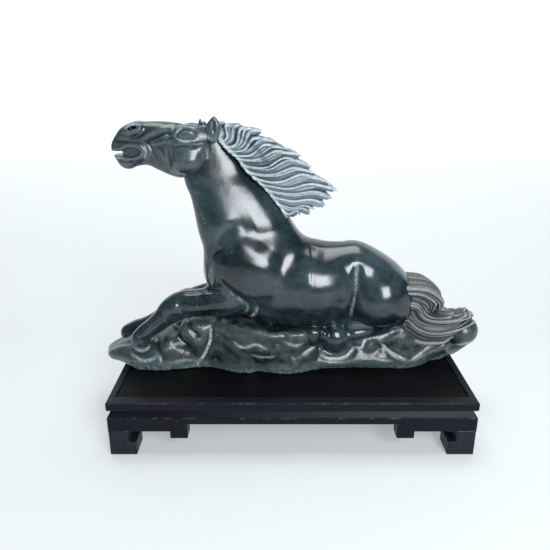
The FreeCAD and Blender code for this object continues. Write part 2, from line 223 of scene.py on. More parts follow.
class Clay:
    """A block of stone as a distance field on a grid, negative inside."""

    def __init__(self, low, high, voxel):
        self.low = np.array(low, float)
        self.voxel = voxel
        self.size = [int(math.ceil((b - a) / voxel)) + 1 for a, b in zip(low, high)]
        self.field = np.full(self.size, BAND, np.float32)
        self.dust = np.zeros((self.size[0], self.size[2]), np.float32)

    def window(self, low, high):
        """Slices of the grid round a box, and its X, Y and Z as open grids."""
        cells, axes = [], []
        for axis in range(3):
            first = max(0, int((low[axis] - self.low[axis]) / self.voxel))
            last = min(self.size[axis], int((high[axis] - self.low[axis]) / self.voxel) + 2)
            last = max(last, first + 1)
            shape = [1, 1, 1]
            shape[axis] = last - first
            cells.append(slice(first, last))
            axes.append((self.low[axis] + self.voxel * np.arange(first, last)).reshape(shape))
        return tuple(cells), axes

    def whole(self):
        return self.window(self.low, self.low + np.array(self.size) * self.voxel)

    def merge(self, form, k=0.0, cut=False):
        """Adds a form to the stone, or cuts it away, with a fillet of about k."""
        low, high, distance = form
        cells, (x, y, z) = self.window([v - BAND for v in low], [v + BAND for v in high])
        if min(self.field[cells].shape) < 2:
            return
        shape = distance(x, y, z, self.voxel)
        part = self.field[cells]
        self.field[cells] = smooth_max(part, -shape, k) if cut else smooth_min(part, shape, k)

    def stroke(self, points, width, taper=0.25):
        """2-D map of one brush stroke, tapered unless it is a closed ring, and the cells it covers."""
        path = dense_path(points)
        reach = 3 * width
        low = [path[:, 0].min() - reach, 0, path[:, 1].min() - reach]
        high = [path[:, 0].max() + reach, 0, path[:, 1].max() + reach]
        cells, (x, _, z) = self.window(low, high)
        gap, place = nearest_on_path(x, z, path)
        amount = np.exp(-(gap / width) ** 2)
        if points[0] != points[-1]:
            t = place / (len(path) - 1)
            amount = amount * np.clip(np.minimum(t, 1 - t) / taper + 0.15, 0, 1)
        return cells, amount

    def carve(self, points, width, depth, side="near"):
        """Groove of that depth along a path, or a ridge where depth is negative."""
        (cx, _, cz), amount = self.stroke(points, width)
        y = self.whole()[1][1]
        if side == "near":
            mask = smooth_step(MIDDLE - 0.5 - y, 0, 2.5)
        else:
            mask = smooth_step(np.abs(y - MIDDLE) - 0.5, 0, 2.5)
        self.field[cx, :, cz] += (depth * amount * mask).astype(np.float32)

    def powder(self, points, width, strength, taper=0.25):
        """Pale dust that sits along a path on the near side."""
        (cx, _, cz), amount = self.stroke(points, width, taper)
        self.dust[cx, cz] = np.maximum(self.dust[cx, cz], strength * amount[:, 0, :])

    def sample(self, grid, at):
        """Trilinear values of a grid at index positions."""
        base = np.clip(np.floor(at).astype(int), 0, np.array(grid.shape) - 2)
        part = at - base
        total = 0.0
        for corner in range(8):
            step = np.array([corner & 1, (corner >> 1) & 1, (corner >> 2) & 1])
            weight = np.prod(np.where(step == 1, part, 1 - part), axis=1)
            index = base + step
            total = total + weight * grid[index[:, 0], index[:, 1], index[:, 2]]
        return total

    def mesh(self, name, relief_scale=0.5, blur=6):
        """The stone's surface as a Blender object, with its relief and dust as attributes."""
        field = self.field
        grid = openvdb.FloatGrid(BAND)
        grid.copyFromArray(field)
        points, quads = grid.convertToQuads(isovalue=0.0)
        points = np.asarray(points, float)
        slopes = np.gradient(field)
        normals = np.stack([self.sample(g, points) for g in slopes], axis=1)
        size = np.linalg.norm(normals, axis=1, keepdims=True)
        points = points - self.sample(field, points)[:, None] * normals / np.maximum(size, 0.2) ** 2
        normals = np.stack([self.sample(g, points) for g in slopes], axis=1)
        normals /= np.maximum(np.linalg.norm(normals, axis=1, keepdims=True), 1e-6)
        soft = field
        for _ in range(blur):
            for axis in range(3):
                soft = (np.roll(soft, 1, axis) + 2 * soft + np.roll(soft, -1, axis)) / 4
        relief = self.sample(soft - field, points) / relief_scale
        dust = self.sample(np.repeat(self.dust[:, None, :], 2, axis=1), points * [1, 0, 1])
        dust = dust * smooth_step(-normals[:, 1], -0.1, 0.3)
        quads = np.asarray(quads, int)
        a, b, c = points[quads[:, 0]], points[quads[:, 1]], points[quads[:, 2]]
        facing = np.einsum("ij,ij->i", np.cross(b - a, c - b), normals[quads[:, 0]])
        if facing.mean() < 0:
            quads = quads[:, ::-1]
        places = (points * self.voxel + self.low) * MM
        mesh = bpy.data.meshes.new(name)
        mesh.from_pydata(places.tolist(), [], quads.tolist())
        mesh.polygons.foreach_set("use_smooth", [True] * len(mesh.polygons))
        for title, values in (("relief", relief), ("dust", dust)):
            layer = mesh.attributes.new(title, "FLOAT", "POINT")
            layer.data.foreach_set("value", np.asarray(values, np.float32))
        mesh.update()
        mesh.normals_split_custom_set_from_vertices(normals.tolist())
        piece = bpy.data.objects.new(name, mesh)
        bpy.context.scene.collection.objects.link(piece)
        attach(piece, "carving")
        return piece


# ---------------------------------------------------------------- the horse

def trunk(clay):
    """Torso, neck, chest, barrel, shoulders and thighs."""
    clay.merge(profile("x", [
        (-46, 77, 99, 13), (-40, 71, 103, 17), (-30, 62, 108, 20), (-20, 55, 112, 21),
        (-10, 51.5, 114, 21), (0, 49.5, 112.4, 20.5), (10, 50, 107, 20), (20, 50.5, 104.7, 20),
        (30, 51, 105, 19.4), (38, 52, 105.4, 19), (42, 52, 104.4, 19), (50, 52.5, 100.5, 19.5),
        (57, 53, 96.2, 19.5), (64, 53, 90.8, 18), (70, 54, 84, 15), (73, 58, 79.6, 10), (74.5, 68, 77, 5),
    ], power=2.15))
    clay.merge(profile("z", [
        (86, -46, 4, 16), (92, -46.5, 2, 17.6), (100, -49.5, 3, 18.4), (107, -51.3, 3, 18.2),
        (113, -53, 1.5, 17.6), (120, -54.2, -1, 16.6), (126, -55.2, -5.5, 15.2), (134, -57, -12, 12.8),
        (139.5, -59.2, -17, 11.1), (145, -60, -23.5, 9.4), (152, -57, -28.5, 7.3), (160, -52, -35, 5.2),
        (167, -48, -39, 4),
    ], power=3.0, wedge=0.24), k=8)
    clay.merge(ellipsoid((11, MIDDLE, 79), (30, 25.2, 24)), k=7)
    clay.merge(ellipsoid((-20, MIDDLE, 89), (25, 24.8, 25), tilt=25), k=6)
    clay.merge(ellipsoid((-40, MIDDLE, 89), (11.5, 13, 15)), k=5)
    for side in (-1, 1):
        clay.merge(ellipsoid((52, MIDDLE + 10.5 * side, 72.5), (16.5, 14.5, 18), tilt=-12), k=5)
        clay.merge(ellipsoid((-33, MIDDLE + 10.5 * side, 96), (14, 12, 19), tilt=-18), k=7)


def legs(clay):
    """Two forelegs, two folded hind legs, and the near hind leg's fetlock and hoof."""
    clay.merge(limb([
        (-24, 75, -11, 9, 8), (-38, 74.4, -14, 9.8, 8.5), (-52, 72.8, -15, 8.4, 7.8),
        (-62, 72.4, -15.5, 7.9, 7.2), (-69, 68.6, -15.5, 7.6, 6.8), (-75, 63, -15.5, 6, 5.8),
        (-80.5, 58.4, -15.2, 5.2, 5.2), (-86, 53.8, -15, 5.1, 5.4), (-89.5, 49.4, -14.8, 5.2, 5.8),
        (-88.4, 45.2, -14.5, 5.6, 6),
    ]), k=3.2)
    clay.merge(limb([
        (-30, 68, 12, 8.5, 8), (-48, 67, 13, 8, 7.5), (-58, 64.6, 14, 7.2, 7), (-66, 61.6, 14.6, 7.6, 7),
        (-73, 57, 15, 5.6, 5.6), (-82, 51, 15, 5, 5.2), (-91, 45.6, 15, 5.2, 5.6),
        (-97, 42.4, 15, 6.2, 6.2), (-103, 39.6, 15, 6, 6),
    ]), k=3)
    clay.merge(limb([
        (65, 62, -10, 5.5, 6), (56, 57.6, -11.5, 6, 6), (45, 54.5, -12.5, 5, 5.5),
        (36, 52.5, -13.4, 5, 5.4),
    ]), k=2.5)
    clay.merge(limb([
        (65, 60, 14, 5.5, 6), (54, 56, 17, 6, 6), (42, 53, 18.4, 5.2, 5.4), (32, 50.6, 19.4, 6.4, 5.6),
        (22, 50, 19.6, 5, 5), (14, 50.6, 19.8, 4.6, 4.6),
    ]), k=2.5)
    clay.merge(ellipsoid((25.8, MIDDLE - 15.2, 49.4), (8.6, 6.4, 9.2), tilt=15), k=1.5)
    hoof = [(17, 52.6, -16.4, 5.4, 5), (12.5, 52.6, -17.2, 6, 5), (9.5, 52.2, -17.2, 5.8, 4.4)]
    clay.merge(limb(hoof, power=3.5), k=1.0)


# strokes on the body: path in (x, z), width, and how deep it is cut
BODY_GROOVES = [
    # front edge of the shoulder, and the hollow between it and the neck
    ([(-43, 100), (-40.5, 108), (-37.2, 114.7), (-31.5, 119.5)], 3.0, 0.8),
    ([(-40, 98), (-36.5, 109), (-30, 116), (-20, 120)], 7.0, 0.7),
    # chest groove and breast fold
    ([(-37.9, 106.6), (-41.8, 104.7), (-44.4, 99.4), (-45.4, 93), (-45.8, 87), (-45.3, 81)], 1.5, 1.1),
    ([(-50, 86), (-47, 82.5), (-42, 83), (-38.6, 87)], 1.3, 0.7),
    # elbow creases
    ([(-39.5, 89.5), (-35.5, 84.4), (-30.3, 79.7), (-25, 75.4), (-24.8, 72.3), (-26, 69),
      (-31.3, 66.6)], 1.3, 1.5),
    ([(-19.5, 76.5), (-18.6, 73), (-20.1, 68.6), (-23.2, 64)], 1.2, 1.1),
    # flank crease and the fold in front of the thigh
    ([(33.1, 63), (34.6, 68), (35.9, 74), (36.6, 83.2), (36.9, 91), (37.6, 97)], 2.8, 1.7),
    ([(34.5, 66), (36.2, 75), (37, 86), (37.4, 94)], 0.8, 0.6),
    ([(26, 72), (30, 80), (33, 92)], 4.0, 0.5),
    # saddle hollow above the flank and the hip
    ([(14, 101), (24, 98.5), (34, 98)], 6.0, 0.5),
    # hollow between the shoulder and the barrel
    ([(-4, 106), (-5.6, 98), (-7, 88), (-9, 78), (-10, 70)], 5.0, 0.7),
    ([(30, 97), (32, 88), (32, 78), (29, 70)], 3.0, 0.5),
    # forearm muscle, knee and the tendon groove of the cannon
    ([(-38, 80.5), (-48, 77), (-57, 75.5)], 1.2, 0.45),
    ([(-36, 70), (-48, 69), (-58, 68)], 1.4, 0.5),
    ([(-62, 79), (-63.5, 74), (-62, 68)], 1.5, 0.6),
    ([(-72.5, 73), (-73.5, 68.5), (-71, 63.5)], 1.3, 0.5),
    ([(-74, 64.5), (-80, 59.3), (-85, 55)], 0.9, 0.5),
    ([(-91, 53.5), (-88, 51.5), (-84.5, 50.5)], 1.0, 0.7),
    ([(-93, 48), (-88.5, 46.3), (-82.5, 46)], 0.7, 0.6),
    # hind fetlock and hoof
    ([(33, 58), (35.2, 53), (34.4, 47), (31.5, 42)], 1.0, 0.8),
    ([(18.2, 57.5), (17.2, 52.5), (17.6, 47)], 0.9, 1.1),
    ([(40, 57), (50, 59.5), (58, 60.5)], 1.0, 0.6),
]
SHOULDER_BLADE = [(-14, 108), (-22, 98), (-30, 88)]
KNEE_CAP = [(-66, 75.5), (-67.5, 71.5), (-66.5, 68)]
# lines of dust: path, width and strength
BODY_DUST = [
    ([(36.2, 78), (36.8, 84), (36.9, 90), (37.4, 97)], 0.9, 0.3),
    ([(34.2, 66), (35.4, 72), (36.4, 79)], 0.7, 0.25),
    ([(-25.2, 75), (-24.9, 71), (-27, 67.5)], 0.6, 0.35),
    ([(-19.4, 73), (-20.6, 68), (-23.6, 63.6)], 0.7, 0.5),
    ([(-45.2, 96), (-46.1, 89), (-45.3, 83)], 0.7, 0.3),
    ([(-92.5, 46.5), (-87, 44.2), (-81, 46.6), (-78.5, 49)], 0.8, 0.5),
    ([(5.6, 44), (10, 46), (16.5, 47.5)], 0.7, 0.8),
    ([(17.2, 48), (18.4, 42.5), (22.2, 39.6), (28.1, 39), (33.9, 41), (36.7, 45)], 0.9, 0.9),
]


def modelling(clay):
    """Muscle hollows, folds and dust on the body."""
    for points, width, depth in BODY_GROOVES:
        # folds above the rock are on both sides, those of the near legs on theirs only
        above_rock = max(x for x, z in points) < 60 and min(z for x, z in points) > 59
        clay.carve(points, width, depth, side="both" if above_rock else "near")
    clay.carve(SHOULDER_BLADE, 7.0, -0.6, side="both")
    clay.carve(KNEE_CAP, 2.6, -0.7)
    for stroke in BODY_DUST:
        clay.powder(*stroke)


def horse_body():
    """Torso, neck and legs."""
    clay = Clay([-112, -23, 29], [82, 36, 176], 0.72)
    trunk(clay)
    legs(clay)
    modelling(clay)
    return clay.mesh("horse_body", relief_scale=0.35)


HEAD_SECTIONS = [
    (-44, 150, 166, 7), (-48, 147.5, 170, 9), (-52, 145.5, 171, 10), (-57, 143.6, 171.5, 10.8),
    (-62, 142.8, 172.6, 10.8), (-68, 144.3, 173.3, 9.8), (-74, 147.0, 173.5, 8.4),
    (-80, 149.7, 173.3, 7.2), (-86, 149.2, 172.6, 6.9), (-90, 148.6, 171.3, 7), (-94, 149.3, 169.2, 6.6),
    (-97, 152.8, 165.8, 5.5), (-99, 156.8, 162.3, 3.8), (-99.8, 158.8, 160.6, 2),
]


FACE_LINES = [
    # lips: rolled edges round the mouth, and the folds behind its corner
    ([(-98.5, 159.3), (-94, 159.4), (-89, 161.8), (-84, 161.2), (-81.2, 158.2), (-83.6, 154.8),
      (-88.4, 153.4), (-93, 154.5), (-97, 154.8)], 0.8, -0.18),
    ([(-84, 163.4), (-80.4, 161), (-79.4, 157.6), (-81.3, 153.4), (-85, 151.6)], 0.8, 0.5),
    ([(-81.5, 164.2), (-78.2, 161), (-77.4, 157.4), (-79, 153.2)], 0.9, -0.3),
    ([(-95.5, 153.5), (-90.5, 151.8), (-85.8, 152.4)], 0.9, 0.4),
    # nostril: rolled rim with a fold running back from it
    ([(-90.6, 168.6), (-88.6, 171.2), (-84.8, 172.6), (-81.6, 171.8), (-82.6, 169.4), (-86.6, 168),
      (-90.6, 168.6)], 0.8, -0.55),
    ([(-92.5, 167.2), (-87.6, 165.6), (-82, 166.4), (-79, 168.4)], 0.9, 0.5),
    ([(-97.5, 163), (-92, 163.6), (-87, 163.4)], 1.2, 0.35),
    # facial crest, with a groove on each side of it
    ([(-81.5, 165), (-76, 167.6), (-70, 170.2), (-65.5, 171)], 1.2, -0.6),
    ([(-80.5, 163.2), (-74.5, 165.4), (-68.5, 167.6), (-64, 167.4)], 1.1, 0.9),
    ([(-79, 161.4), (-73, 162.4), (-67.5, 163.6), (-63, 163.2)], 1.0, -0.45),
    ([(-78, 164), (-76.4, 161), (-74.6, 157.5), (-73, 154)], 1.0, 0.55),
    ([(-72.6, 160.4), (-70.4, 156.5), (-69, 152)], 1.2, -0.4),
    # cheek plate: grooves in front, above, behind and below
    ([(-66.4, 160.5), (-66.5, 155), (-66, 149.5)], 0.9, 0.75),
    ([(-64, 160.8), (-57, 161.4), (-50, 160.6)], 0.9, 0.6),
    ([(-48.2, 161), (-46.8, 157), (-47.2, 152.6), (-50.2, 148), (-54, 145.4)], 0.8, 0.5),
    ([(-70, 148.9), (-66.4, 146.9), (-62, 145.8), (-56.5, 145.4)], 0.8, 0.6),
    # eye: socket, lids, brow and the crease in front of it
    ([(-62.0, 166.6), (-58.8, 169.7), (-54.6, 169.8), (-51.2, 167.8), (-53.6, 165.2), (-58.4, 164.8),
      (-62.0, 166.6)], 0.6, 0.55),
    ([(-63.6, 166.4), (-60.4, 169.8), (-56, 170.9), (-51.6, 169.6), (-49.2, 167.4)], 0.7, -0.5),
    ([(-62.8, 165.6), (-58, 164.2), (-53, 164.6), (-50, 166.4)], 0.5, -0.25),
    ([(-65, 168.5), (-61.5, 172), (-57, 173)], 1.4, 0.5),
    ([(-54.5, 162.6), (-50.6, 162.4), (-47, 163)], 0.8, -0.5),
    ([(-63.5, 166), (-66, 165), (-68, 163.4)], 0.7, 0.5),
]
FACE_DUST = [
    ([(-61.6, 165.2), (-57.6, 163.9), (-53.4, 164.2)], 0.6, 0.5),
    ([(-62.4, 168), (-58.6, 171)], 0.5, 0.4),
    ([(-50.4, 166.4), (-47, 166.2), (-44, 165.2)], 1.2, 0.7),
    ([(-46.4, 159.5), (-46.2, 155), (-48.2, 150.5)], 0.5, 0.3),
    ([(-89.4, 170.4), (-86, 172.2), (-82.4, 171.6)], 0.5, 0.5),
    ([(-80.4, 162), (-79.2, 158), (-81, 154)], 0.5, 0.5),
    ([(-97.5, 155.2), (-92.6, 154.4)], 0.6, 0.4),
    ([(-67.4, 147.3), (-62, 145.8), (-57, 145)], 0.5, 0.35),
]
NEAR_EAR = ((-41.7, 177.0), (-42.4, 166.0), -8.6, 4.1)
FAR_EAR = ((-50.6, 174.4), (-48.4, 168.0), 5.5, 2.9)


def skull(clay):
    """Head with brows, nostrils, cheek plates and a round chin."""
    clay.merge(profile("x", HEAD_SECTIONS, power=2.3))
    for side in (-1, 1):
        clay.merge(ellipsoid((-57, MIDDLE + 5.6 * side, 168), (7.4, 4.2, 4.2), tilt=8), k=2.5)
        clay.merge(ellipsoid((-87, MIDDLE + 3.4 * side, 168.4), (7.6, 4.6, 4.2), tilt=20), k=2.5)
        nostril = ellipsoid((-86.2, MIDDLE + 6.0 * side, 170.4), (2.8, 2.4, 1.1), tilt=14)
        clay.merge(nostril, k=0.8, cut=True)
    # cheek: a rounded plate that leans back above its middle
    clay.merge(profile("z", [
        (144.5, -60, -54, 7), (147, -64, -50.5, 10.4), (150, -65.6, -48.6, 12.4), (154, -66, -48, 12.8),
        (157, -65.6, -47.8, 11.9), (160, -64.6, -48.4, 10.4), (162.5, -62, -51, 8),
    ], power=3.4, wedge=0.1), k=1.4)
    clay.merge(ellipsoid((-91.5, MIDDLE, 151.6), (4.6, 5.6, 3.6), tilt=-30), k=2)


def open_mouth(clay):
    """The gap between the lips, cut right through, and a shallow hollow behind it on each side."""
    lips_gap = [(-104, 155.9), (-92.5, 155.6), (-92.5, 158.1), (-104, 157.9)]
    hollow = [
        (-94, 155.7), (-88, 154.6), (-84, 155.6), (-82.2, 158), (-84.5, 160), (-89, 160.4), (-94, 158.2),
    ]
    tongue_half_y = 5.5
    _, (x, y, z) = clay.whole()
    through = polygon_distance(x, z, lips_gap)
    inner = np.maximum(polygon_distance(x, z, hollow), tongue_half_y - np.abs(y - MIDDLE))
    mouth = np.minimum(through + 0 * y, inner)
    clay.field = smooth_max(clay.field, -mouth, 0.8).astype(np.float32)


def ear(clay, tip, base, offset, half_wide):
    """Leaf-shaped ear with a groove down its middle."""
    belly = (base[0] * 0.45 + tip[0] * 0.55, base[1] * 0.5 + tip[1] * 0.5)
    clay.merge(limb([
        (base[0], base[1], offset, half_wide * 0.75, 2.2),
        (belly[0], belly[1], offset, half_wide, 2.0),
        (tip[0], tip[1] - 1.6, offset - 0.3, half_wide * 0.42, 1.3),
        (tip[0], tip[1] - 0.4, offset - 0.4, 0.4, 0.8),
    ]), k=0.8)
    groove = [(tip[0], tip[1] - 2.4), (base[0] + 0.8, base[1] + 6), (base[0] + 0.6, base[1] + 2)]
    clay.carve(groove, 0.7, 0.8, side="both")


def forelock(clay):
    """Short strands that fall forward from between the ears."""
    for i in range(7):
        x, z = -44.6 + 0.5 * i, 170.2 - 0.9 * i
        clay.merge(limb([
            (x, z, -5.5, 1.0, 2.6), (x - 3.4, z + 0.4, -5.2, 1.1, 2.6),
            (x - 6.6 - 0.3 * i, z - 0.8, -4.6, 0.5, 1.8),
        ]), k=0.3)


def horse_head():
    """Skull, open mouth, carved face, eyes, ears and forelock."""
    clay = Clay([-104, -9, 137], [-30, 21, 181], 0.36)
    skull(clay)
    open_mouth(clay)
    for stroke in FACE_LINES:
        clay.carve(*stroke, side="both")
    for side in (-1, 1):
        eyeball = ellipsoid((-56.6, MIDDLE + 7.1 * side, 167.3), (3.9, 2.1, 1.7), tilt=-4)
        clay.merge(eyeball, k=0.3)
    ear(clay, *NEAR_EAR)
    ear(clay, *FAR_EAR)
    forelock(clay)
    for stroke in FACE_DUST:
        clay.powder(*stroke)
    return clay.mesh("horse_head", relief_scale=0.22)


MANE_ROOT = [
    (-40.8, 166.4), (-37.5, 161.5), (-33.5, 157.4), (-29.6, 154.1), (-25.4, 147.7), (-18.9, 141.8),
    (-13.2, 135.9), (-8.1, 129.3), (-2.9, 122.4),
]
# outer edge of the mane: the notch above each lock, then the lock's tip; the last row closes the edge
MANE_EDGE = [
    ((-40.5, 170.5), (-36.5, 173.2)), ((-36.2, 172.0), (-26.6, 171.6)), ((-27.6, 169.8), (-15.4, 168.3)),
    ((-18.6, 165.2), (-7.4, 162.4)), ((-10.4, 160.6), (-2.0, 158.4)), ((-4.4, 156.6), (6.0, 155.4)),
    ((3.2, 152.6), (11.6, 149.0)), ((8.8, 147.2), (13.6, 145.2)), ((11.6, 143.2), (21.4, 139.9)),
    ((18.6, 138.0), (27.4, 135.8)), ((21.4, 134.4), (23.4, 131.6)), ((19.4, 130.4), (18.8, 126.4)),
    ((14.4, 126.6), (9.8, 121.8)), ((6.6, 123.0), (1.0, 120.8)), ((-2.3, 121.0), None),
]


def mane_strand(start, end, offset, sway, half_wide, half_y, drift):
    """Stations of one S-shaped strand that dips, rises and curls over at its tip."""
    run = math.hypot(end[0] - start[0], end[1] - start[1])
    across = (-(end[1] - start[1]) / run, (end[0] - start[0]) / run)
    stations = []
    places = (0, 0.12, 0.24, 0.36, 0.48, 0.6, 0.72, 0.84, 0.93, 1)
    for s, inward in zip(places, np.linspace(0, 0.12, len(places))):
        swing = -sway * math.sin(2 * math.pi * (0.98 * s - 0.02)) * min(1.0, 0.35 + 1.6 * s)
        swing -= 0.12 * sway * math.sin(5 * math.pi * s + drift) + 0.5 * max(0.0, s - 0.9) * sway
        point = 1 - 0.7 * max(0.0, (s - 0.8) / 0.2) ** 2
        x = start[0] + (end[0] - start[0]) * s + across[0] * swing
        z = start[1] + (end[1] - start[1]) * s + across[1] * swing
        half_up = half_wide * point * (0.85 + 0.3 * s)
        stations.append((x, z, offset * (1 - inward), half_up, half_y * point * (1 - 0.3 * s * s)))
    return stations


def mane_core(clay):
    """A thin slab under the strands, so that no gap shows between them."""
    outline = MANE_ROOT + [
        (4, 122.5), (13, 128), (18.5, 131), (17.5, 136.5), (10, 141.5), (7.4, 147), (0.6, 152.6),
        (-6.6, 157.6), (-13, 161.6), (-21, 166), (-30, 169.4), (-37, 170),
    ]
    half_y = 4.2
    _, (x, y, z) = clay.whole()
    slab = smooth_max(polygon_distance(x, z, outline) + 0 * y, np.abs(y - MIDDLE) - half_y, 2.0)
    clay.field = np.minimum(clay.field, np.clip(slab, -BAND, BAND)).astype(np.float32)


def mane_layer(clay, draw, layer, reach):
    """One sheet of locks at that depth, each lock a fan of strands from the root to its tip."""
    root = dense_path(MANE_ROOT, 8)
    locks = len(MANE_EDGE) - 1
    for i in range(locks):
        upper, tip = MANE_EDGE[i]
        lower = MANE_EDGE[i + 1][0]
        count = 6 if math.dist(upper, lower) > 6.5 else 5
        sway = draw.uniform(1.9, 3.1) * (1.0 if i < 10 else 0.7)
        lift = 0.35 * (i % 3) - 0.3
        for j in range(count):
            t = (j + 0.5) / count
            row = (i + t) * (len(root) - 1) / locks
            start = [np.interp(row, np.arange(len(root)), root[:, c]) for c in (0, 1)]
            side = upper if t < 0.5 else lower
            pull = abs(2 * t - 1) ** 1.5 * draw.uniform(0.7, 0.95)
            end = [tip[c] + (side[c] - tip[c]) * pull for c in (0, 1)]
            end = [start[c] + (end[c] - start[c]) * reach * draw.uniform(0.95, 1.0) for c in (0, 1)]
            # each lock is thickest on its upper side and tucks under the next
            offset = layer * (1 + 0.42 * (0.5 - t) + 0.12 * lift) + draw.uniform(-0.3, 0.3)
            half_wide, drift = draw.uniform(0.85, 1.2), draw.uniform(-0.6, 0.6)
            strand = mane_strand(start, end, offset, sway, half_wide, 3.0, drift)
            clay.merge(limb(strand, power=2.2, steps=3), k=0.2)


def horse_mane():
    """Wind-blown mane: wavy strands gathered into overlapping, flame-shaped locks."""
    clay = Clay([-46, -6, 113], [32, 18, 179], 0.37)
    draw = np.random.default_rng(7)
    mane_core(clay)
    # three layers from the near side to the far side; the near one is the longest
    for layer, reach in ((-4.5, 1.0), (0.2, 0.97), (4.5, 0.95)):
        mane_layer(clay, draw, layer, reach)
    root_dust = [(-40, 166.6), (-36.5, 161.5), (-29, 153.6), (-24.6, 147.4), (-18, 141.2),
                 (-12.4, 135.2), (-7.4, 128.6), (-2.4, 122)]
    clay.powder(root_dust, 0.9, 0.9, taper=0.05)
    return clay.mesh("horse_mane", relief_scale=0.28, blur=4)


TAIL_FLOWS = [
    # upper bunch, from the dock down to the hip of the rock
    [(67, 84), (73, 83.5), (79, 82.5), (84.5, 79), (88.5, 75.2), (90.5, 71.6), (90.5, 68)],
    [(66, 81.5), (72, 81), (77, 79.5), (82, 76.5), (85.6, 73), (86.4, 69.5), (88.5, 66.4)],
    [(65, 78), (70.5, 77.5), (75.4, 75.5), (79.6, 72.4), (80.4, 69), (83, 65.6), (87.5, 63.6)],
    [(65, 74), (69.6, 73.6), (73.4, 72), (75.6, 69), (77.4, 65.8), (81.5, 63.2), (88, 61.6), (97, 61),
     (106, 61.5)],
    [(65, 70), (68.6, 70.2), (71.4, 68.4), (73.2, 64.8), (77, 61.6), (83, 59.6), (90, 58.6), (98, 58.8),
     (108.5, 62.8)],
    [(65, 66), (68.2, 65.6), (70.6, 63), (74.4, 59.2), (80.6, 56.4), (87.4, 55.4), (95, 55.8),
     (102.5, 57), (110.5, 60.8)],
    [(66, 61.5), (69, 60.8), (72.4, 57.8), (77, 54.6), (83.6, 52.6), (91, 52.2), (98, 53.8),
     (104.5, 55.8), (110, 57.6)],
    [(67, 57), (70.6, 54.8), (75, 51.6), (81, 49.8), (88, 49), (94.4, 49), (100, 51.2), (106, 54.4)],
    [(68, 53), (71.8, 50), (76.4, 47.6), (82, 46.8), (88, 46.6), (93.5, 46.8), (98.5, 49.4), (104.5, 52.6)],
]


def horse_tail():
    """Tail: grooved strands that fall from the dock and sweep back over the rock."""
    clay = Clay([58, -19, 40], [116, 24, 92], 0.42)
    for core in (
        [(62, 75, -1, 7, 9), (72, 74.6, -2, 6.6, 10), (80, 72, -3, 6, 9), (86, 69, -3, 4, 6)],
        [(68, 62, -3, 7, 10), (78, 55.5, -4, 6.6, 11), (90, 54, -4, 6, 10), (100, 56, -4, 4, 7)],
        [(70, 70, -3, 6, 10), (76, 64, -4, 6, 10.5), (86, 60, -4, 4, 8)],
    ):
        clay.merge(limb(core), k=2)
    draw = np.random.default_rng(11)
    between = 3
    for i in range(len(TAIL_FLOWS) - 1):
        upper, lower = dense_path(TAIL_FLOWS[i], 4), dense_path(TAIL_FLOWS[i + 1], 4)
        for j in range(between):
            t = j / between
            knots = np.linspace(0, 1, 10)
            lines = []
            for path in (upper, lower):
                at = np.linspace(0, 1, len(path))
                lines.append(np.stack([np.interp(knots, at, path[:, c]) for c in (0, 1)], axis=1))
            line = lines[0] * (1 - t) + lines[1] * t
            bunch = 1.3 * math.sin(2.4 * i + 1.3 * j)
            for layer in (-9.6, -4.8, 0, 4.8, 9.6):
                shift, stray, wide = draw.uniform(-0.5, 0.5), draw.uniform(0, 1), draw.uniform(1.2, 1.75)
                wander = draw.uniform(-0.8, 0.8)
                stations = []
                for s, (x, z) in zip(knots, line):
                    end = 1 - 0.72 * s ** 3
                    back = (3.5 + 0.25 * abs(layer)) * stray * s ** 3
                    drop = 0.022 * layer ** 2 * (1 - 0.6 * s)
                    offset = -3 + (layer * (1 + 0.08 * bunch) + wander) * (1 - 0.42 * s ** 2.5)
                    half_y = 3.3 * (1 - 0.4 * s ** 2)
                    stations.append((x - back, z + shift - drop, offset, wide * end, half_y))
                clay.merge(limb(stations, power=2.2, steps=3), k=0.25)
    return clay.mesh("horse_tail", relief_scale=0.3, blur=4)


# the rock along its length: front and back edges on the panel, and heights of its top and underside
ROCK_FRONT = [
    (-116, 6), (-114.3, 2.6), (-110.5, -4.7), (-102.5, -8.9), (-94.8, -12.7), (-85, -15.5), (-75, -16.4),
    (-65.6, -13.4), (-57.4, -11), (-46.8, -12.2), (-38, -15.6), (-28.5, -18.1), (-14, -18.8), (0, -18.5),
    (8.6, -16.7), (16.5, -12.6), (28, -11.4), (41, -10.9), (52.4, -11.7), (68.9, -12.4), (78, -9),
    (88, -3.8), (97.4, -0.2), (106, 2), (113, 5), (116, 8),
]
ROCK_BACK = [
    (-116, 8), (-108, 20), (-95, 25), (-80, 28), (-50, 32), (-20, 34), (10, 34), (45, 32), (75, 28),
    (92, 22), (106, 16), (116, 8),
]
ROCK_TOP = [
    (-116, 36), (-111, 38.6), (-106, 41.5), (-98, 45.5), (-90, 48.5), (-80, 50), (-66, 56), (-52, 60),
    (-36, 63), (-20, 62), (0, 61), (20, 62), (36, 65), (50, 64), (62, 62), (72, 55), (84, 52), (95, 53),
    (104, 56), (111, 56), (116, 48),
]
ROCK_UNDERSIDE = [
    (-116, 35.6), (-110, 34.8), (-101, 34), (-94, 33), (-92, 31.9), (92, 31.9), (95, 33), (101, 34.5),
    (108, 37.5), (113, 40), (116, 42),
]


# cracks in the near face that are cut and then hold dust, from the fetlock towards the right end
ROCK_CRACKS = [
    [(37, 45.4), (42, 44.7), (43.6, 48), (46.4, 50.3), (53.7, 51.6), (58.6, 54.7), (63.2, 56.5)],
    [(52.6, 48.7), (57.4, 44.1), (63.9, 40.5), (70.1, 37.5)],
    [(70.1, 37.5), (75.7, 39.6), (84.2, 43.2), (92.4, 46)],
]


